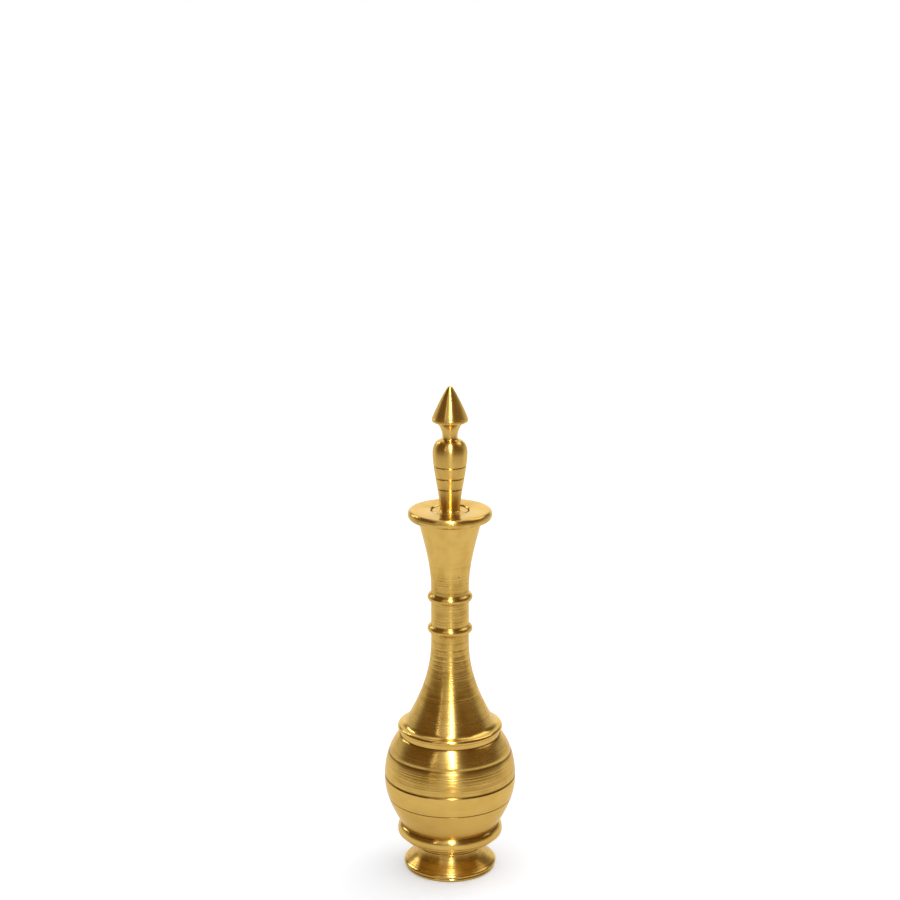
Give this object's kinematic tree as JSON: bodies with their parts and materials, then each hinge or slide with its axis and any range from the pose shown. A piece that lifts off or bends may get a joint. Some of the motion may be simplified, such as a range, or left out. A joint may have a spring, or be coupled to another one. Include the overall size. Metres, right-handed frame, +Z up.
{
  "type": "kohl container",
  "caption": "Turned brass kohl bottle with a round bulb and a trumpet neck, a cup foot that unscrews from below, and a baluster stopper that carries the applicator rod.",
  "frame": {"origin": "middle of the foot's underside, on the surface that the container stands on", "axes": "+Z up along the common axis of all the pieces, towards the finial; the pieces are turned, so X and Y are alike"},
  "size_m": [0.0356, 0.0356, 0.1345],
  "materials": {
    "foot_brass": "lathe-turned, bright",
    "bottle_brass": "lathe-turned, bright",
    "stopper_brass": "lathe-turned, bright",
    "rod_brass": "drawn, satin"
  },
  "bodies": {
    "foot": {"foot": "foot_brass"},
    "bottle": {"bottle": "bottle_brass"},
    "rod": {"rod": "rod_brass"},
    "stopper": {"stopper": "stopper_brass"}
  },
  "joints": [
    {"name": "bottle_lift", "type": "slide", "parent": "foot", "child": "bottle", "axis": [0, 0, 1], "range_m": [0, 0.012]},
    {"name": "applicator_lift", "type": "slide", "parent": "bottle", "child": "rod", "axis": [0, 0, 1], "range_m": [0, 0.084]},
    {"name": "stopper_turn", "type": "hinge", "parent": "rod", "child": "stopper", "pos_m": [0, 0, 0.1], "axis": [0, 0, 1], "range_deg": [0, 720]}
  ]
}
